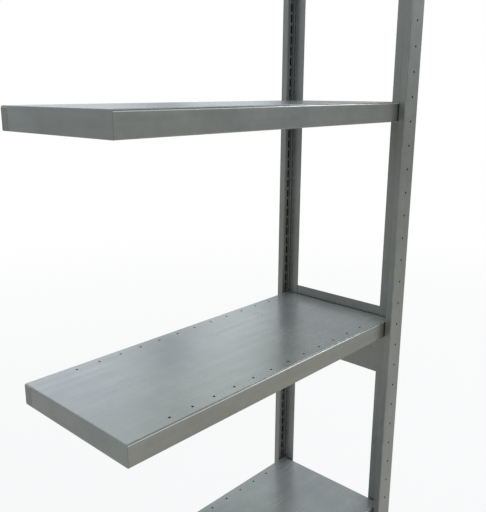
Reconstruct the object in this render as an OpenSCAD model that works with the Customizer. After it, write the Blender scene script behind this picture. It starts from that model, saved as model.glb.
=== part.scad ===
// Add-on bay of boltless steel shelving.
// One end frame of two T-shaped uprights carries the right ends of five shelves. The left ends hang
// in the frame of the neighbouring bay. The frame's middle plane is x = 0, the floor is z = 0, and
// y = 0 is halfway between the front and the rear of the frame.

/* [Bay] */
// Distance from the middle of this frame to the middle of the neighbouring one
bay_pitch = 750; // [600:50:1250]
// Depth of the frame over the two uprights
frame_d = 330; // [330:10:630]
// Height of the lowest shelf's top
first_level = 75; // [75:24:171]
// Height from one shelf to the next, a whole number of slots
level_pitch = 480; // [288:24:576]
// Height from the top shelf's top to the top of the uprights
head_room = 5; // [5:1:15]

/* [Uprights] */
// Thickness of the upright's sheet
upright_t = 1.2; // [1:0.1:1.5]
// Width of the outer face
face_w = 50; // [46:1:60]
// Depth of the hollow flange behind the outer face
flange_d = 16; // [14:1:20]
// Depth from the outer face to the end of the stem
stem_d = 45; // [40:1:60]
// Outside radius of the flange's bends
upright_bend_r = 2.2; // [1.8:0.1:3]
// Diameter of the holes down the outer face
face_hole_d = 5; // [4:0.5:8]
// Distance between the holes of the outer face
face_hole_pitch = 50; // [50:25:100]
// Height of a slot
slot_h = 18; // [16:1:18]
// Width of the slots in the flange's inner wall
wall_slot_w = 5; // [3:0.5:6]
// Distance of those slots from the middle of the upright
wall_slot_x = 12; // [10:1:14]
// Width of the slots through the stem
stem_slot_w = 3; // [2.5:0.5:4]
// Distance of the stem's slots from the outer face
stem_slot_d = 21; // [20:1:22]

/* [Cross panels] */
// Thickness of a panel, which is also the gap between the stem's two layers
panel_t = 1; // [0.8:0.1:1.2]
// Height of a panel
panel_h = 163; // [100:1:200]
// Depth of a panel inside each stem
panel_grip = 20; // [14:1:20]
// Height of the lowest panel's bottom edge
bottom_panel_z = 20; // [10:1:60]
// Height of the middle panel's top edge over the middle shelf
middle_panel_rise = 22; // [0:1:60]
// Distance from the uprights' top to the top panel's top edge
top_panel_drop = 10; // [5:1:60]
// Diameter of the flush rivets
rivet_d = 5; // [4:0.5:6]
// Distance of a rivet from the panel's top or bottom edge
rivet_inset = 25; // [15:1:40]

/* [Shelves] */
// Thickness of the shelves' sheet
shelf_t = 1; // [0.8:0.1:1.2]
// Height of a shelf's edge
shelf_h = 40; // [36:1:45]
// Gap between a shelf's long edge and the flange of the upright
side_play = 0.5; // [0.4:0.1:1]
// Gap between a shelf's end and the clip beside it
end_play = 0.4; // [0.4:0.1:1]
// Distance that the deck stands back from the rail's outer face
deck_inset = 2; // [1:0.5:4]
// Width of the hem along the deck's long edges
hem_w = 10; // [8:1:12]
// Outside radius of the rails' bends
rail_bend_r = 2.2; // [1.8:0.1:3]
// Width of a rail's flange under the deck's hem
rail_top_w = 14; // [13:1:15]
// Width of the closed box that a rail forms with the deck
rail_box_w = 30; // [28:1:40]
// Diameter of the holes in the deck
deck_hole_d = 5; // [4:0.5:6]
// Distance between the deck's holes
deck_hole_pitch = 50; // [40:10:100]
// Distance from a row of holes to the rail's outer face
deck_hole_inset = 18; // [17.5:0.5:23]
// Width of the stiffener under the deck, over its flanges
stiffener_w = 70; // [60:5:100]
// Depth of the stiffener
stiffener_h = 25; // [20:1:30]

/* [Shelf clips] */
// Thickness of the clip's leg and hooks
clip_t = 1.5; // [1.2:0.1:1.5]
// Thickness of the tongue under the shelf
tongue_t = 2; // [1.5:0.5:3]
// Length of the tongue
tongue_l = 16; // [12:1:25]
// Width of the clip
clip_w = 15; // [12:1:18]
// Height of a hook's neck
hook_neck_h = 8; // [6:1:10]
// Length of the hook's tip below its neck
hook_tip_h = 6; // [4:1:6]

/* [Feet and caps] */
// Thickness of the foot plate
foot_t = 3; // [3:1:5]
// Width of the foot plate
foot_w = 64; // [60:1:80]
// Distance between the two anchor holes of a foot
anchor_pitch_x = 44; // [40:1:50]
// Distance of the anchor holes from the upright's outer face
anchor_inset = 40; // [35:1:50]
// Diameter of an anchor hole
anchor_d = 9; // [7:1:11]
// Thickness of the cap's top
cap_t = 2.5; // [2:0.5:4]
// Depth of the cap's plug in the flange
cap_plug_h = 14; // [10:1:20]

/* [Hidden] */
$fn = 48;
shelf_count = 5;
half_d = frame_d / 2;
// The cutters run past the faces they cut by this much
over = 0.5;
foot_play = 0.4;
// Distance from one slot to the next
slot_pitch = 24;
stem_t = 2 * upright_t + panel_t;
root_r = 1.5;
wall_y = -half_d + flange_d;
stem_slot_y = -half_d + stem_slot_d;
rivet_y = -half_d + stem_d - panel_grip / 2;
top_level = first_level + (shelf_count - 1) * level_pitch;
upright_top = top_level + head_room;
// A clip's upper hook sits in a slot whose middle is this far below the shelf's top
hook_drop = 8;
slots_under_first_hook = 2;
lowest_slot_z = first_level - hook_drop - slots_under_first_hook * slot_pitch;
slot_count = floor((top_level - hook_drop - lowest_slot_z) / slot_pitch) + 1;
lowest_hole_z = face_hole_pitch / 2;
face_hole_count = floor((upright_top - lowest_hole_z) / face_hole_pitch) + 1;

end_gap = stem_t / 2 + clip_t + end_play;
shelf_l = bay_pitch - 2 * end_gap;
shelf_half_d = half_d - flange_d - side_play;
deck_half_d = shelf_half_d - deck_inset;
hem_t = 2 * shelf_t;
hem_r = 0.95 * shelf_t;
rail_h = shelf_h - hem_t;
end_bend_r = 1.2;
// The flanges of the rails stop short of the shelf's ends by this much
flange_relief = shelf_t + 0.2;
// The rear rail closes this much of the shelf's end, beside the deck's folded end
end_tab_w = 20;
seam = 0.3;
// The folded ends reach forward to the inside of the front rail
end_reach = shelf_half_d - shelf_t - seam;
// The rows of holes keep at least this far from the shelf's ends
deck_hole_end = 1.5 * deck_hole_pitch;
deck_hole_count = floor((shelf_l - 2 * deck_hole_end) / deck_hole_pitch) + 1;
deck_hole_y = shelf_half_d - deck_hole_inset;
stiffener_flange_w = 14;
stiffener_bend_r = 3;

middle_level = first_level + 2 * level_pitch;
middle_panel_z = middle_level + middle_panel_rise - panel_h;
top_panel_z = upright_top - top_panel_drop - panel_h;

anchor_y = -half_d + anchor_inset;
foot_lip = 3;
anchor_edge = 18;
foot_front_y = -half_d - foot_lip;
foot_back_y = anchor_y + anchor_edge;
foot_corner_r = 5;
spigot_h = 40;
spigot_t = 2;
plug_w = face_w - 2 * (upright_t + foot_play);
plug_d = flange_d - 2 * (upright_t + foot_play);
plug_y = -half_d + upright_t + foot_play;
plug_r = 1;
// The clip's leg ends this far over the neck of its upper hook
leg_over_hook = 2;

zinc = [0.50, 0.53, 0.53];
bright_zinc = [0.62, 0.64, 0.65];
dark_plastic = [0.20, 0.21, 0.22];

// Height of the top of shelf n, counted from the floor
function level(n) = first_level + (n - 1) * level_pitch;

// A rectangle from [0, 0] to [w, h] with round corners
module round_rect(w, h, r) {
    translate([r, 0]) square([w - 2 * r, h]);
    translate([0, r]) square([w, h - 2 * r]);
    for (x = [r, w - r]) {
        for (y = [r, h - r]) {
            translate([x, y]) circle(r);
        }
    }
}

// The inside of a round_rect of sheet t
module round_rect_inside(w, h, r, t) {
    translate([t, t]) round_rect(w - 2 * t, h - 2 * t, r - t);
}

// What a bend of radius r takes off a square corner at [0, 0] whose sides run along +x and +y
module corner_waste(r) {
    difference() {
        translate([-over, -over]) square(r + over);
        translate([r, r]) circle(r);
    }
}

// Draws a profile in the y-z plane and runs it along x from x0 for a length l
module along_x(x0, l) {
    translate([x0, 0, 0]) rotate([90, 0, 90]) linear_extrude(l) children();
}

// The pieces of the rear are the mirror images of those of the front
module mirrored_to_rear() {
    mirror([0, 1, 0]) children();
}

// Section of the front upright: a hollow flange whose two edges fold in to a double stem
module upright_section() {
    difference() {
        union() {
            translate([-face_w / 2, -half_d]) round_rect(face_w, flange_d, upright_bend_r);
            translate([-stem_t / 2, wall_y - upright_t]) square([stem_t, stem_d - flange_d + upright_t]);
            for (side = [0, 1]) {
                mirror([side, 0]) stem_root();
            }
        }
        translate([-face_w / 2, -half_d]) {
            round_rect_inside(face_w, flange_d, upright_bend_r, upright_t);
        }
        translate([-panel_t / 2, wall_y - upright_t - over]) square([panel_t, stem_d]);
    }
}

// The bend from the flange's inner wall into the stem
module stem_root() {
    translate([stem_t / 2, wall_y]) {
        difference() {
            square(root_r);
            translate([root_r, root_r]) circle(root_r);
        }
    }
}

module wall_slot(x, z) {
    translate([x - wall_slot_w / 2, wall_y - upright_t - over, z - slot_h / 2]) {
        cube([wall_slot_w, upright_t + 2 * over, slot_h]);
    }
}

module stem_slot(z) {
    translate([-stem_t, stem_slot_y - stem_slot_w / 2, z - slot_h / 2]) {
        cube([2 * stem_t, stem_slot_w, slot_h]);
    }
}

module face_hole(z) {
    translate([0, -half_d + upright_t + over, z]) rotate([90, 0, 0]) {
        cylinder(h = upright_t + 2 * over, d = face_hole_d);
    }
}

// The four rivet places of a panel whose bottom edge is at z, seen from the side
module at_rivets(z, sides) {
    for (side = sides) {
        for (rivet_z = [z + rivet_inset, z + panel_h - rivet_inset]) {
            translate([-stem_t / 2, side * rivet_y, rivet_z]) rotate([0, 90, 0]) children();
        }
    }
}

module upright() {
    color(zinc) difference() {
        translate([0, 0, foot_t]) linear_extrude(upright_top - foot_t) upright_section();
        for (n = [0 : slot_count - 1]) {
            wall_slot(-wall_slot_x, lowest_slot_z + n * slot_pitch);
            wall_slot(wall_slot_x, lowest_slot_z + n * slot_pitch);
            stem_slot(lowest_slot_z + n * slot_pitch);
        }
        for (n = [0 : face_hole_count - 1]) {
            face_hole(lowest_hole_z + n * face_hole_pitch);
        }
        for (z = [bottom_panel_z, middle_panel_z, top_panel_z]) {
            at_rivets(z, [1]) cylinder(h = stem_t, d = rivet_d);
        }
    }
}

// Foot: a plate on the floor with two anchor holes, and a channel that plugs into the flange
module foot() {
    plate_l = foot_back_y - foot_front_y;
    color(zinc) difference() {
        union() {
            translate([-foot_w / 2, foot_front_y, 0]) {
                linear_extrude(foot_t) round_rect(foot_w, plate_l, foot_corner_r);
            }
            translate([-plug_w / 2, plug_y, 0]) linear_extrude(spigot_h) {
                difference() {
                    round_rect(plug_w, plug_d, plug_r);
                    translate([spigot_t, spigot_t]) square([plug_w - 2 * spigot_t, plug_d]);
                }
            }
        }
        for (x = [-anchor_pitch_x / 2, anchor_pitch_x / 2]) {
            translate([x, anchor_y, -over]) cylinder(h = foot_t + 2 * over, d = anchor_d);
        }
    }
}

// Cap: a lid over the flange and the stem with a plug inside the flange
module cap() {
    color(dark_plastic) union() {
        translate([0, 0, upright_top]) linear_extrude(cap_t) {
            translate([-face_w / 2, -half_d]) round_rect(face_w, flange_d, upright_bend_r);
            translate([-stem_t / 2, wall_y - upright_t]) square([stem_t, stem_d - flange_d + upright_t]);
        }
        translate([-plug_w / 2, plug_y, upright_top - cap_plug_h]) {
            linear_extrude(cap_plug_h) round_rect(plug_w, plug_d, plug_r);
        }
    }
}

// Cross panel between the stems, with its bottom edge at z
module cross_panel(z) {
    panel_half_d = half_d - stem_d + panel_grip;
    color(zinc) difference() {
        translate([-panel_t / 2, -panel_half_d, z]) cube([panel_t, 2 * panel_half_d, panel_h]);
        at_rivets(z, [-1, 1]) cylinder(h = stem_t, d = rivet_d);
    }
}

module panel_rivets(z) {
    color(zinc) at_rivets(z, [-1, 1]) cylinder(h = stem_t, d = rivet_d);
}

// Section of the deck: a flat sheet with a round hem along both long edges
module deck_section() {
    translate([-deck_half_d + hem_r, -shelf_t]) square([2 * (deck_half_d - hem_r), shelf_t]);
    for (side = [0, 1]) {
        mirror([side, 0]) {
            translate([-deck_half_d, -hem_t]) round_rect(hem_w, hem_t, hem_r);
        }
    }
}

// Deck of shelf n: the top sheet with both ends folded down and two rows of holes
module shelf_deck(n) {
    color(zinc) translate([-end_gap - shelf_l, 0, level(n)]) difference() {
        union() {
            along_x(0, shelf_l) deck_section();
            for (x = [0, shelf_l - shelf_t]) {
                translate([x, -deck_half_d, -shelf_h]) {
                    cube([shelf_t, deck_half_d + shelf_half_d - end_tab_w - seam, shelf_h - shelf_t / 2]);
                }
                translate([x, -end_reach, -shelf_h + 2 * seam]) {
                    cube([shelf_t, end_reach, rail_h - 3 * seam]);
                }
            }
        }
        for (side = [0, 1]) {
            translate([side * shelf_l, -half_d, 0]) mirror([side, 0, 0]) {
                rotate([-90, 0, 0]) linear_extrude(2 * half_d) corner_waste(end_bend_r);
            }
        }
        for (i = [0 : deck_hole_count - 1]) {
            for (y = [-deck_hole_y, deck_hole_y]) {
                hole_x = shelf_l / 2 + (i - (deck_hole_count - 1) / 2) * deck_hole_pitch;
                translate([hole_x, y, -shelf_t - over]) cylinder(h = shelf_t + 2 * over, d = deck_hole_d);
            }
        }
    }
}

// Section of a front rail: a box under the deck's edge, whose inner wall reaches the deck
module rail_section() {
    inner_x = rail_box_w - shelf_t;
    difference() {
        union() {
            round_rect(rail_box_w, rail_h, rail_bend_r);
            translate([inner_x, rail_bend_r]) square([shelf_t, shelf_h - shelf_t - rail_bend_r]);
        }
        round_rect_inside(rail_box_w, rail_h, rail_bend_r, shelf_t);
        translate([rail_top_w, rail_h - 2 * rail_bend_r]) square([inner_x - rail_top_w, 3 * rail_bend_r]);
    }
}

// The part of a rail's outline that closes the rear corner of the shelf's end, up to the deck beside its hem
module end_tab_section() {
    beside_hem = shelf_half_d - deck_half_d + hem_w + seam;
    intersection() {
        round_rect(rail_box_w, rail_h, rail_bend_r);
        square([end_tab_w, rail_h]);
    }
    translate([beside_hem, rail_h / 2]) square([end_tab_w - beside_hem, rail_h / 2 + shelf_t - seam]);
}

// Rail of shelf n as it lies along the front
module shelf_rail(n) {
    translate([-end_gap - shelf_l, -shelf_half_d, level(n) - shelf_h]) difference() {
        along_x(0, shelf_l) rail_section();
        for (x = [-over, shelf_l - flange_relief]) {
            translate([x, shelf_t, -over]) cube([flange_relief + over, rail_box_w, shelf_h]);
        }
    }
}

module shelf_front_rail(n) {
    color(zinc) shelf_rail(n);
}

// The rear rail also closes the rear corner of each end of the shelf
module shelf_rear_rail(n) {
    color(zinc) mirrored_to_rear() union() {
        shelf_rail(n);
        for (x = [-end_gap - shelf_l, -end_gap - shelf_t]) {
            translate([x, -shelf_half_d, level(n) - shelf_h]) along_x(0, shelf_t) end_tab_section();
        }
    }
}

// Section of the stiffener: a hat whose brim lies against the deck
module stiffener_section() {
    crown_w = stiffener_w - 2 * stiffener_flange_w + 2 * shelf_t;
    difference() {
        union() {
            translate([-crown_w / 2, -stiffener_h]) round_rect(crown_w, 2 * stiffener_h, stiffener_bend_r);
            translate([-stiffener_w / 2, -shelf_t]) square([stiffener_w, shelf_t]);
        }
        translate([-crown_w / 2, -stiffener_h]) {
            round_rect_inside(crown_w, 2 * stiffener_h, stiffener_bend_r, shelf_t);
            translate([-over, stiffener_h]) square([crown_w + 2 * over, 2 * stiffener_h]);
        }
    }
}

module shelf_stiffener(n) {
    stiffener_gap = 2 * shelf_t;
    color(zinc) translate([0, 0, level(n) - shelf_t]) {
        along_x(-end_gap - shelf_l + stiffener_gap, shelf_l - 2 * stiffener_gap) stiffener_section();
    }
}

// One hook of a clip: a neck through the stem's slot at height z and a tip behind the stem
module clip_hook(z) {
    neck_z = z - slot_h / 2;
    translate([-stem_t / 2 - clip_t, stem_slot_y - clip_t / 2, neck_z]) {
        cube([2 * clip_t + stem_t, clip_t, hook_neck_h]);
    }
    translate([stem_t / 2, stem_slot_y - clip_t / 2, neck_z - hook_tip_h]) {
        cube([clip_t, clip_t, hook_tip_h + hook_neck_h]);
    }
}

// Clip at the front of shelf n: a leg flat on the stem, two hooks and a tongue under the shelf
module shelf_clip_front(n) {
    clip_y = -shelf_half_d + shelf_t;
    leg_top = level(n) - hook_drop - slot_h / 2 + hook_neck_h + leg_over_hook;
    tongue_z = level(n) - shelf_h - tongue_t;
    color(bright_zinc) union() {
        translate([-stem_t / 2 - clip_t, clip_y, tongue_z]) cube([clip_t, clip_w, leg_top - tongue_z]);
        translate([-stem_t / 2 - tongue_l, clip_y, tongue_z]) cube([tongue_l, clip_w, tongue_t]);
        clip_hook(level(n) - hook_drop);
        clip_hook(level(n) - hook_drop - slot_pitch);
    }
}

module shelf_clip_rear(n) {
    mirrored_to_rear() shelf_clip_front(n);
}

upright();  // upright_front
mirrored_to_rear() upright();  // upright_rear
foot();  // foot_front
mirrored_to_rear() foot();  // foot_rear
cap();  // cap_front
mirrored_to_rear() cap();  // cap_rear
cross_panel(bottom_panel_z);  // cross_panel_bottom
cross_panel(middle_panel_z);  // cross_panel_middle
cross_panel(top_panel_z);  // cross_panel_top
panel_rivets(bottom_panel_z);  // panel_rivets_bottom
panel_rivets(middle_panel_z);  // panel_rivets_middle
panel_rivets(top_panel_z);  // panel_rivets_top
shelf_deck(1);  // shelf_1_deck
shelf_front_rail(1);  // shelf_1_front_rail
shelf_rear_rail(1);  // shelf_1_rear_rail
shelf_stiffener(1);  // shelf_1_stiffener
shelf_deck(2);  // shelf_2_deck
shelf_front_rail(2);  // shelf_2_front_rail
shelf_rear_rail(2);  // shelf_2_rear_rail
shelf_stiffener(2);  // shelf_2_stiffener
shelf_deck(3);  // shelf_3_deck
shelf_front_rail(3);  // shelf_3_front_rail
shelf_rear_rail(3);  // shelf_3_rear_rail
shelf_stiffener(3);  // shelf_3_stiffener
shelf_deck(4);  // shelf_4_deck
shelf_front_rail(4);  // shelf_4_front_rail
shelf_rear_rail(4);  // shelf_4_rear_rail
shelf_stiffener(4);  // shelf_4_stiffener
shelf_deck(5);  // shelf_5_deck
shelf_front_rail(5);  // shelf_5_front_rail
shelf_rear_rail(5);  // shelf_5_rear_rail
shelf_stiffener(5);  // shelf_5_stiffener
shelf_clip_front(1);  // shelf_clip_1_front
shelf_clip_rear(1);  // shelf_clip_1_rear
shelf_clip_front(2);  // shelf_clip_2_front
shelf_clip_rear(2);  // shelf_clip_2_rear
shelf_clip_front(3);  // shelf_clip_3_front
shelf_clip_rear(3);  // shelf_clip_3_rear
shelf_clip_front(4);  // shelf_clip_4_front
shelf_clip_rear(4);  // shelf_clip_4_rear
shelf_clip_front(5);  // shelf_clip_5_front
shelf_clip_rear(5);  // shelf_clip_5_rear
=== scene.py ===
"""Looks of the boltless steel shelving bay: materials, soft light, pale floor and the camera."""

import math

import bpy
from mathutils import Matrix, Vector


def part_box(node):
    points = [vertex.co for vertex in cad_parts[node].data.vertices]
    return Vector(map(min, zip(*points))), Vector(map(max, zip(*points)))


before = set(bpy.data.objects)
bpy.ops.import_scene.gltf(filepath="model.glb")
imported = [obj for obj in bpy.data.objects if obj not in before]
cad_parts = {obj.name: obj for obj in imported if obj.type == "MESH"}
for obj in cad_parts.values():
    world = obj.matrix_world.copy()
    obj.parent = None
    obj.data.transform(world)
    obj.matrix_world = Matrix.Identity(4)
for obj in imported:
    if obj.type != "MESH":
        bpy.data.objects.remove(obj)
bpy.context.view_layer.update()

MM = 0.001

# ---------------------------------------------------------------- places on the bay

upright_low, upright_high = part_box("upright_front")
deck_low, deck_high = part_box("shelf_1_deck")
next_deck_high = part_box("shelf_2_deck")[1]

LOWEST_SHELF = deck_high.z
SHELF_PITCH = next_deck_high.z - deck_high.z
SHELF_MIDDLE = (deck_low.x + deck_high.x) / 2
HALF_SHELF = (deck_high.x - deck_low.x) / 2
DECK_END = deck_low.x
DECK_SIDE = deck_high.y
FLANGE_OUT = -upright_low.y
FLANGE_DEPTH = 16 * MM
FLANGE_IN = FLANGE_OUT - FLANGE_DEPTH
STEM_SLOT_DEPTH = 21 * MM
STEM_SLOTS = FLANGE_OUT - STEM_SLOT_DEPTH
HALF_FACE = upright_high.x
HALF_STEM = 1.7 * MM


# ---------------------------------------------------------------- node helpers


class Nodes:
    """Adds nodes to one material's or world's tree and links them."""

    def __init__(self, tree):
        self.tree = tree

    def add(self, kind, inputs=None, **settings):
        made = self.tree.nodes.new(kind)
        for name, value in settings.items():
            setattr(made, name, value)
        for key, value in (inputs or {}).items():
            self.feed(made.inputs[key], value)
        return made

    def feed(self, socket, value):
        if isinstance(value, bpy.types.NodeSocket):
            self.tree.links.new(value, socket)
        elif socket.type == "RGBA" and len(value) == 3:
            socket.default_value = (*value, 1.0)
        else:
            socket.default_value = value

    def maths(self, operation, a, b=0.0):
        return self.add("ShaderNodeMath", {0: a, 1: b}, operation=operation).outputs[0]

    def product(self, first, *others):
        for other in others:
            first = self.maths("MULTIPLY", first, other)
        return first

    def total(self, first, *others):
        for other in others:
            first = self.maths("ADD", first, other)
        return first

    def size_of(self, value):
        return self.maths("ABSOLUTE", value)

    def ramp(self, value, low, high, to_low=0.0, to_high=1.0):
        """value eased from low..high to to_low..to_high."""
        ends = {"Value": value, "From Min": low, "From Max": high, "To Min": to_low, "To Max": to_high}
        return self.add("ShaderNodeMapRange", ends, interpolation_type="SMOOTHSTEP").outputs[0]

    def varied(self, noise, to_low, to_high, spread=0.2):
        """A noise's middle range, spread to either side of a half, eased to to_low..to_high."""
        return self.ramp(noise, 0.5 - spread, 0.5 + spread, to_low, to_high)

    def noise(self, where, scale, detail=3.0, roughness=0.5):
        inputs = {"Vector": where, "Scale": scale, "Detail": detail, "Roughness": roughness}
        return self.add("ShaderNodeTexNoise", inputs).outputs["Fac"]

    def parts_of(self, where):
        return self.add("ShaderNodeSeparateXYZ", {"Vector": where}).outputs

    def stretched(self, where, factors):
        return self.add("ShaderNodeMapping", {"Vector": where, "Scale": factors}).outputs[0]

    def aligned(self, where, direction):
        """How far where reaches along direction."""
        inputs = {0: where, 1: direction}
        return self.add("ShaderNodeVectorMath", inputs, operation="DOT_PRODUCT").outputs["Value"]

    def blend(self, share, a, b):
        made = self.add("ShaderNodeMix", {"Factor": share}, data_type="RGBA")
        self.feed(made.inputs[6], a)
        self.feed(made.inputs[7], b)
        return made.outputs[2]

    def tinted(self, colour, factor):
        """colour times a grey factor."""
        return self.add("ShaderNodeVectorMath", {0: colour, 1: factor}, operation="MULTIPLY").outputs[0]

    def relief(self, height, strength, distance):
        inputs = {"Height": height, "Strength": strength, "Distance": distance}
        return self.add("ShaderNodeBump", inputs).outputs[0]

    def surface(self, **inputs):
        """Ends a material in one shader with these inputs."""
        named = {name.replace("_", " "): value for name, value in inputs.items()}
        shader = self.add("ShaderNodeBsdfPrincipled", named)
        self.add("ShaderNodeOutputMaterial", {"Surface": shader.outputs[0]})


def new_material(name):
    material = bpy.data.materials.new(name)
    material.use_nodes = True
    material.node_tree.nodes.clear()
    n = Nodes(material.node_tree)
    return material, n, n.add("ShaderNodeTexCoord").outputs["Object"]


# ---------------------------------------------------------------- galvanised sheet

# How the direction of rolling stretches a pattern: long along it, short across it
ALONG_X = (0.025, 1.0, 1.0)
ALONG_Y = (1.0, 0.025, 1.0)
ALONG_Z = (1.0, 1.0, 0.025)

# Repeats per metre of each pattern in the zinc
WARMTH = 3.1
LANE_BREAKS = 4.5
CLOUDS = 6.0
MARKS = 14.0
PATCHES = 23.0
LANES = 62.0
CRYSTALS = 105.0
STREAKS = 150.0
FINE_STREAKS = 900.0
GRAIN = 1500.0

WARM_TINT = (0.985, 0.99, 0.93)
# Bright colour of rubbed zinc, also used for painted highlights
RUBBED_ZINC_AND_HIGHLIGHT = (0.60, 0.61, 0.60)
# Near-black colour of the painted shade
PAINTED_SHADE_COLOUR = (0.012, 0.013, 0.013)
LOWEST_ROUGHNESS = 0.08


def rolled_upwards(n, place):
    return n.stretched(place, ALONG_Z)


def rolled_lengthwise(n, place):
    """Along the shelf, and across it on the folded ends."""
    from_middle = n.size_of(n.maths("SUBTRACT", n.parts_of(place)["X"], SHELF_MIDDLE))
    at_end = n.ramp(from_middle, HALF_SHELF - 0.6 * MM, HALF_SHELF - 0.3 * MM)
    return n.blend(at_end, n.stretched(place, ALONG_X), n.stretched(place, ALONG_Y))


def galvanised(name, colour, rolled, metal, roughness, spangle, streak, relief, wear_and_highlight=None, painted_shade_mask=None):
    """Zinc-coated sheet: cloudy zinc, faint spangle, mill lanes and streaks, fine grain and dull marks."""
    material, n, place = new_material(name)
    rolled_place = rolled(n, place)
    cloud = n.noise(place, CLOUDS, 3.0, 0.55)
    patches = n.noise(place, PATCHES, 2.0)
    streaks = n.noise(rolled_place, STREAKS)
    grain = n.noise(place, GRAIN, 2.0, 0.6)
    crystals = n.add("ShaderNodeTexVoronoi", {"Vector": place, "Scale": CRYSTALS}).outputs["Color"]
    crystal = n.add("ShaderNodeSeparateColor", {"Color": crystals}).outputs[0]
    lanes = n.maths("SUBTRACT", n.noise(rolled_place, LANES, 2.0), 0.5)
    lanes = n.product(lanes, n.ramp(n.noise(place, LANE_BREAKS, 2.0), 0.4, 0.65, 0.15, 1.0))

    tone = n.product(
        n.total(n.varied(cloud, 0.93, 1.07), n.varied(patches, -0.025, 0.025)),
        n.varied(streaks, 1.0 - streak, 1.0 + streak, spread=0.25),
        n.ramp(lanes, -0.2, 0.2, 1.0 - 0.9 * streak, 1.0 + 0.9 * streak),
        n.ramp(crystal, 0.0, 1.0, 1.0 - spangle, 1.0 + spangle),
        n.varied(grain, 0.98, 1.02),
    )
    warm = tuple(part * tint for part, tint in zip(colour, WARM_TINT))
    warmth = n.varied(n.noise(place, WARMTH, 2.0), 0.0, 1.0, spread=0.15)
    shade = n.tinted(n.blend(warmth, colour, warm), tone)

    marks = n.ramp(n.noise(place, MARKS, 5.0, 0.7), 0.58, 0.72, 0.0, 0.06)
    rough = n.total(
        roughness,
        n.varied(cloud, -0.03, 0.03),
        n.varied(streaks, -0.5 * streak, 0.5 * streak, spread=0.25),
        n.ramp(lanes, -0.2, 0.2, 0.7 * streak, -0.7 * streak),
        n.ramp(crystal, 0.0, 1.0, -0.6 * spangle, 0.6 * spangle),
        marks,
    )
    # Rubbed zinc, and painted highlights: the colour is blended towards bright zinc where the mask says.
    if wear_and_highlight is not None:
        worn_and_highlit = wear_and_highlight(n, place)
        shade = n.blend(worn_and_highlit, shade, RUBBED_ZINC_AND_HIGHLIGHT)
        rough = n.total(rough, n.product(worn_and_highlit, -0.08))
    # Painted shade: the colour is blended towards near black where the mask says, and the zinc made
    # rougher.
    if painted_shade_mask is not None:
        painted_shade_share = painted_shade_mask(n, place)
        shade = n.blend(painted_shade_share, shade, PAINTED_SHADE_COLOUR)
        rough = n.total(rough, n.product(painted_shade_share, 0.35))
    fine_streaks = n.noise(rolled_place, FINE_STREAKS, 2.0, 0.6)
    height = n.total(n.product(fine_streaks, 0.7), n.product(grain, 0.3))
    n.surface(
        Base_Color=shade,
        Roughness=n.maths("MAXIMUM", rough, LOWEST_ROUGHNESS),
        Metallic=metal,
        Normal=n.relief(height, relief, 0.02 * MM),
    )
    return material


# ---------------------------------------------------------------- wear, painted highlights and painted shade on the sheet


def shelf_height(n, place):
    """Height over the nearest shelf's top, so that one pattern serves every shelf."""
    from_lowest = n.maths("SUBTRACT", n.parts_of(place)["Z"], LOWEST_SHELF - SHELF_PITCH / 2)
    return n.maths("SUBTRACT", n.maths("MODULO", from_lowest, SHELF_PITCH), SHELF_PITCH / 2)


def broken_up(n, place, mask, scale):
    """mask with gaps in it, as rubbing leaves them."""
    return n.product(mask, n.ramp(n.noise(place, scale, 4.0, 0.7), 0.42, 0.6))


def rail_wear_and_highlight(n, place):
    """The rail's upper bend, where goods slide over it, is rubbed bright, and painted brighter still as an
    even highlight band.
    """
    shoulder = n.ramp(shelf_height(n, place), -4.4 * MM, -3.2 * MM)
    patches = n.noise(n.stretched(place, (0.2, 1.0, 1.0)), 60.0, 4.0, 0.7)
    return n.product(shoulder, n.varied(patches, 0.9, 1.0, spread=0.15))


def upright_wear(n, place):
    """The vertical bends at the sides of the outer face are rubbed a little."""
    parts = n.parts_of(place)
    side = n.ramp(n.size_of(parts["X"]), HALF_FACE - 2.0 * MM, HALF_FACE - 0.2 * MM)
    front = n.ramp(n.size_of(parts["Y"]), FLANGE_OUT - 2.4 * MM, FLANGE_OUT - 1.6 * MM)
    return broken_up(n, n.stretched(place, (1.0, 1.0, 0.3)), n.product(side, front, 0.3), 45.0)


def upright_painted_shade(n, place):
    """Painted shade: near-black colour and rougher zinc in the hollow flange, on the walls of the stem's
    slots and in the corner by the stem.
    """
    parts = n.parts_of(place)
    across = n.size_of(parts["X"])
    depth = n.size_of(parts["Y"])
    hollow = n.product(
        n.ramp(depth, FLANGE_OUT - 0.3 * MM, FLANGE_OUT - 1.0 * MM),
        n.ramp(depth, FLANGE_IN + 0.3 * MM, FLANGE_IN + 1.0 * MM),
        n.ramp(across, HALF_FACE - 0.3 * MM, HALF_FACE - 1.0 * MM),
    )
    slots = n.product(
        n.ramp(across, HALF_STEM - 0.05 * MM, HALF_STEM - 0.2 * MM),
        n.ramp(n.size_of(n.maths("SUBTRACT", depth, STEM_SLOTS)), 1.8 * MM, 1.6 * MM),
        0.8,
    )
    corner = n.product(
        n.ramp(across, 6.0 * MM, 1.9 * MM),
        n.ramp(depth, FLANGE_IN - 6.0 * MM, FLANGE_IN - 1.0 * MM),
        n.ramp(depth, FLANGE_IN + 0.4 * MM, FLANGE_IN + 0.2 * MM),
        0.15,
    )
    return n.maths("MAXIMUM", n.maths("MAXIMUM", hollow, slots), corner)


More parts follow.
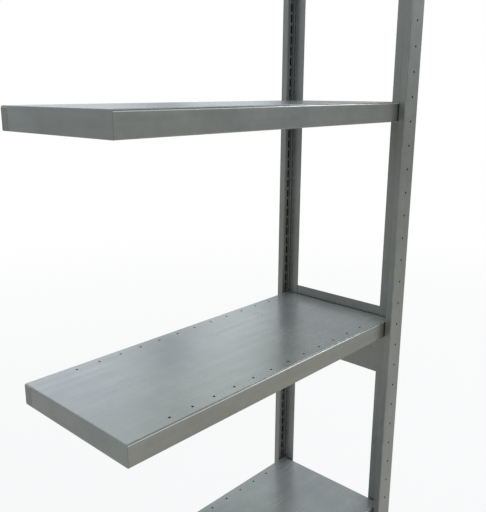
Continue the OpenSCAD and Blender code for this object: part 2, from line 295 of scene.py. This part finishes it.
def deck_scuffs_and_highlights(n, place):
    """Thin scuffs run along the deck where goods were pushed about, and the deck's rounded edges, the hem
    and the end fold, carry a painted highlight.
    """
    lanes = n.noise(n.stretched(place, ALONG_X), 300.0, 2.0)
    scuffs = broken_up(n, place, n.ramp(lanes, 0.6, 0.8, 0.0, 0.06), 9.0)
    parts = n.parts_of(place)
    # Painted highlight along the rounded hem and the end fold
    hem = n.ramp(n.size_of(parts["Y"]), DECK_SIDE - 0.8 * MM, DECK_SIDE - 0.5 * MM, 0.0, 0.12)
    fold = n.ramp(parts["X"], DECK_END + 0.8 * MM, DECK_END + 0.5 * MM, 0.0, 0.6)
    upper = n.ramp(shelf_height(n, place), -1.1 * MM, -0.7 * MM)
    return n.maths("MAXIMUM", scuffs, n.product(n.maths("MAXIMUM", hem, fold), upper))


def deck_painted_shade(n, place):
    """Painted shade: the folded ends are darker and duller than the top."""
    fold = n.ramp(n.parts_of(place)["X"], DECK_END + 0.6 * MM, DECK_END + 0.3 * MM)
    below = n.ramp(shelf_height(n, place), -0.9 * MM, -1.3 * MM)
    return n.product(fold, below, 0.14)


# ---------------------------------------------------------------- the other materials


def bright_zinc(name, colour, roughness):
    """Bright plated steel: clear zinc with faint clouding and fine tumbling marks."""
    material, n, place = new_material(name)
    cloud = n.noise(place, 70.0)
    pits = n.noise(place, 2400.0, 2.0)
    n.surface(
        Base_Color=n.tinted(colour, n.varied(cloud, 0.9, 1.1)),
        Roughness=n.varied(cloud, roughness - 0.05, roughness + 0.05),
        Metallic=1.0,
        Normal=n.relief(pits, 0.15, 0.05 * MM),
    )
    return material


def moulded_plastic(name, colour, roughness):
    """Dark moulded plastic with a fine leather-like grain and pale handling marks."""
    material, n, place = new_material(name)
    grain = n.add("ShaderNodeTexVoronoi", {"Vector": place, "Scale": 1600.0}).outputs["Distance"]
    marks = n.ramp(n.noise(place, 60.0, 5.0, 0.7), 0.55, 0.75, 0.0, 0.35)
    pale = tuple(1.9 * part for part in colour)
    n.surface(
        Base_Color=n.blend(marks, colour, pale),
        Roughness=n.varied(n.noise(place, 35.0), roughness - 0.06, roughness + 0.08),
        Normal=n.relief(grain, 0.35, 0.1 * MM),
    )
    return material


GALVANISED = {
    "frame_galvanised": dict(
        colour=(0.322, 0.331, 0.328), rolled=rolled_upwards, metal=0.95, roughness=0.42,
        spangle=0.03, streak=0.03, relief=0.15, wear_and_highlight=upright_wear, painted_shade_mask=upright_painted_shade,
    ),
    "deck_galvanised": dict(
        colour=(0.380, 0.404, 0.403), rolled=rolled_lengthwise, metal=0.50, roughness=0.24,
        spangle=0.006, streak=0.03, relief=0.008, wear_and_highlight=deck_scuffs_and_highlights, painted_shade_mask=deck_painted_shade,
    ),
    "rail_galvanised": dict(
        colour=(0.32, 0.33, 0.325), rolled=rolled_lengthwise, metal=0.95, roughness=0.36,
        spangle=0.02, streak=0.03, relief=0.1, wear_and_highlight=rail_wear_and_highlight,
    ),
    "foot_galvanised": dict(
        colour=(0.30, 0.31, 0.30), rolled=rolled_lengthwise, metal=0.9, roughness=0.5,
        spangle=0.06, streak=0.03, relief=0.2,
    ),
}


def make_materials():
    made = {name: galvanised(name, **look) for name, look in GALVANISED.items()}
    made["zinc_plated"] = bright_zinc("zinc_plated", (0.42, 0.44, 0.45), 0.28)
    made["cap_plastic"] = moulded_plastic("cap_plastic", (0.035, 0.037, 0.04), 0.5)
    return made


# ---------------------------------------------------------------- the CAD pieces

WELD_DISTANCE = 0.001 * MM
SHARP_ANGLE = 40
# The sheet pieces keep their cut edges, and their bends are round already
BEVEL_WIDTH = {
    "foot_galvanised": 0.5 * MM,
    "zinc_plated": 0.25 * MM,
    "cap_plastic": 0.6 * MM,
}


def finish_node(node, materials):
    """Gives a CAD node its material, and rounds the sharp edges of the thick pieces a little."""
    finish = node.material_slots[0].material.name.split(".")[0]
    for slot in node.material_slots:
        slot.material = materials[slot.material.name.split(".")[0]]
    for face in node.data.polygons:
        face.use_smooth = True
    if finish not in BEVEL_WIDTH:
        return
    weld = node.modifiers.new("joined", "WELD")
    weld.merge_threshold = WELD_DISTANCE
    bevel = node.modifiers.new("rounded", "BEVEL")
    bevel.width = BEVEL_WIDTH[finish]
    bevel.segments = 2
    bevel.limit_method = "ANGLE"
    bevel.angle_limit = math.radians(SHARP_ANGLE)
    bevel.harden_normals = True


# ---------------------------------------------------------------- floor

FLOOR_SIDE = 60.0
FLOOR_PAINT = (0.86, 0.86, 0.855)
FLOOR_LIGHT = (1.0, 0.99, 0.94)
FLOOR_LEFT = (-0.7, 0.7, 0.0)
WHITE = (1.0, 1.0, 1.0)
BOUNCE_NEAR = 0.66
BOUNCE_FAR = 0.44
BOUNCE_LEFT = 0.74
BOUNCE_FAR_LEFT = 0.55


def floor_bounce(n, place, away):
    """Light that the floor throws on the bay: less far off, and less again to the left."""
    left = n.aligned(place, FLOOR_LEFT)
    shaded = n.product(n.ramp(left, 0.2, 1.4), n.ramp(left, 5.0, 2.5))
    strength = n.product(
        n.ramp(away, 2.0, 9.0, BOUNCE_NEAR, BOUNCE_FAR),
        n.ramp(shaded, 0.0, 1.0, 1.0, BOUNCE_LEFT),
        n.ramp(left, 7.0, 15.0, 1.0, BOUNCE_FAR_LEFT),
    )
    return n.add("ShaderNodeEmission", {"Color": FLOOR_LIGHT, "Strength": strength}).outputs[0]


def floor_look(n, away):
    """What the camera sees: pale paint that takes soft shadows, fading to white far off."""
    paint = n.add("ShaderNodeBsdfDiffuse", {"Color": FLOOR_PAINT}).outputs[0]
    glow = n.add("ShaderNodeEmission", {"Color": WHITE, "Strength": 1.0}).outputs[0]
    mixed = {0: n.ramp(away, 1.0, 6.0, 0.8, 1.0), 1: paint, 2: glow}
    return n.add("ShaderNodeMixShader", mixed).outputs[0]


def make_floor():
    mesh = bpy.data.meshes.new("floor")
    half = FLOOR_SIDE / 2
    corners = [(-half, -half, 0), (half, -half, 0), (half, half, 0), (-half, half, 0)]
    mesh.from_pydata(corners, [], [(0, 1, 2, 3)])
    floor = bpy.data.objects.new("floor", mesh)
    bpy.context.scene.collection.objects.link(floor)
    material, n, place = new_material("pale_floor")
    away = n.add("ShaderNodeVectorMath", {0: place}, operation="LENGTH").outputs["Value"]
    seen = n.add("ShaderNodeLightPath").outputs["Is Camera Ray"]
    mixed = n.add("ShaderNodeMixShader", {0: seen, 1: floor_bounce(n, place, away), 2: floor_look(n, away)})
    n.add("ShaderNodeOutputMaterial", {"Surface": mixed.outputs[0]})
    mesh.materials.append(material)


# ---------------------------------------------------------------- light

ROOM_COLOUR = (0.94, 1.0, 1.05)
ROOM_LIGHT = 0.46
# Azimuth from +X, half width of the full part, half width of all of it, and strength of each bright wall
SOFT_WALLS = (
    (70.0, 15.0, 22.0, 0.95),
    (44.0, 2.0, 5.0, 0.90),
    (-40.0, 22.0, 55.0, 0.46),
    (158.0, 20.0, 34.0, 0.44),
)
# Sines of the elevations between which the walls begin, the walls end and the ceiling begins
WALLS_BEGIN = (0.05, 0.2)
WALLS_END = (0.41, 0.67)
CEILING_BEGINS = (0.46, 0.98)
WALL_BELOW = 0.04
CEILING_LIGHT = 0.42

SOFTBOX_PLACE = Vector((2.14, -0.03, 2.94))
SOFTBOX_AIM = Vector((-0.3, -0.1, 1.1))
SOFTBOX_SIDE = 1.3
SOFTBOX_WATTS = 20.0


def soft_wall(n, level_ray, azimuth, inner, outer, strength):
    """Light from an upright strip of the room: full up to the angle inner from azimuth, none past outer."""
    turn = math.radians(azimuth)
    towards = n.aligned(level_ray, (math.cos(turn), math.sin(turn), 0.0))
    return n.ramp(towards, math.cos(math.radians(outer)), math.cos(math.radians(inner)), 0.0, strength)


def make_world():
    """White for the camera, and a dim room with soft bright walls for light and reflections."""
    world = bpy.data.worlds.new("studio")
    bpy.context.scene.world = world
    world.use_nodes = True
    world.node_tree.nodes.clear()
    n = Nodes(world.node_tree)
    ray = n.add("ShaderNodeTexCoord").outputs["Generated"]
    flat = n.add("ShaderNodeVectorMath", {0: ray, 1: (1.0, 1.0, 0.0)}, operation="MULTIPLY").outputs[0]
    level_ray = n.add("ShaderNodeVectorMath", {0: flat}, operation="NORMALIZE").outputs[0]
    height = n.parts_of(ray)["Z"]
    walls = n.product(
        n.total(*(soft_wall(n, level_ray, *wall) for wall in SOFT_WALLS)),
        n.ramp(height, *WALLS_END, 1.0, 0.0),
        n.ramp(height, *WALLS_BEGIN, WALL_BELOW, 1.0),
    )
    strength = n.total(walls, n.ramp(height, *CEILING_BEGINS, 0.0, CEILING_LIGHT), ROOM_LIGHT)
    room = n.add("ShaderNodeBackground", {"Color": ROOM_COLOUR, "Strength": strength})
    white = n.add("ShaderNodeBackground", {"Color": WHITE, "Strength": 1.0})
    seen = n.add("ShaderNodeLightPath").outputs["Is Camera Ray"]
    mixed = n.add("ShaderNodeMixShader", {0: seen, 1: room.outputs[0], 2: white.outputs[0]})
    n.add("ShaderNodeOutputWorld", {"Surface": mixed.outputs[0]})


def make_softbox():
    lamp = bpy.data.lights.new("softbox", "AREA")
    lamp.shape = "SQUARE"
    lamp.size = SOFTBOX_SIDE
    lamp.energy = SOFTBOX_WATTS
    softbox = bpy.data.objects.new("softbox", lamp)
    softbox.location = SOFTBOX_PLACE
    softbox.rotation_euler = (SOFTBOX_AIM - SOFTBOX_PLACE).to_track_quat("-Z", "Y").to_euler()
    bpy.context.scene.collection.objects.link(softbox)


# ---------------------------------------------------------------- camera

CAMERA_PLACE = (-1.2478, -0.8358, 1.5382)
CAMERA_TURN = (75.583, -0.047, -46.421)
LENS_MM = 44.97
SENSOR_MM = 36.0
LENS_SHIFT = (0.0216, -0.0026)


def make_camera():
    lens = bpy.data.cameras.new("camera")
    lens.lens = LENS_MM
    lens.sensor_width = SENSOR_MM
    lens.sensor_fit = "AUTO"
    lens.shift_x, lens.shift_y = LENS_SHIFT
    lens.clip_start = 0.05
    lens.clip_end = 200.0
    camera = bpy.data.objects.new("camera", lens)
    camera.location = CAMERA_PLACE
    camera.rotation_euler = [math.radians(angle) for angle in CAMERA_TURN]
    bpy.context.scene.collection.objects.link(camera)
    bpy.context.scene.camera = camera


# ---------------------------------------------------------------- the scene


make_camera()
materials = make_materials()
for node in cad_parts.values():
    finish_node(node, materials)
make_floor()
make_world()
make_softbox()
bpy.context.scene.view_settings.view_transform = "Standard"
